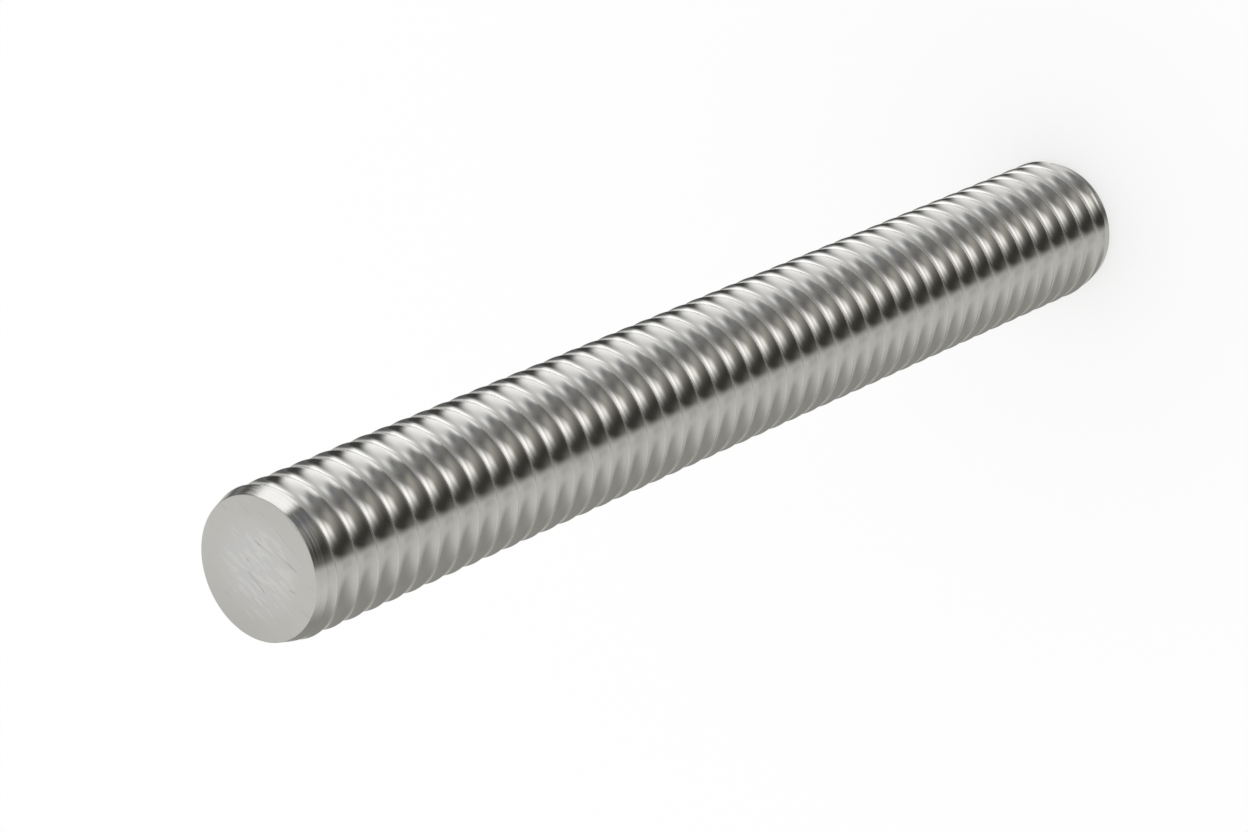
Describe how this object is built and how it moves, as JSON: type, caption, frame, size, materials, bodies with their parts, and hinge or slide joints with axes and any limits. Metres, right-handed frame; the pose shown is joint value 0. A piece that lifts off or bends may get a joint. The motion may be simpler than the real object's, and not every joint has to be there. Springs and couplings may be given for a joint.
{
  "type": "threaded rod",
  "caption": "Solid steel rod with a continuous shallow rounded right-hand thread from end to end and flat chamfered end faces, for clamping, hanging or joining with nuts.",
  "frame": {"origin": "centre of the lower end face", "axes": "+Z along the rod's axis to its upper end face, -Y towards the viewer"},
  "size_m": [0.016, 0.016, 0.138],
  "materials": {
    "bright_steel": "bright rolled stainless steel with fine turning lines round the thread, and matt ground end faces with fine straight scratches"
  },
  "bodies": {
    "root": {"threaded_rod": "bright_steel"}
  },
  "joints": []
}
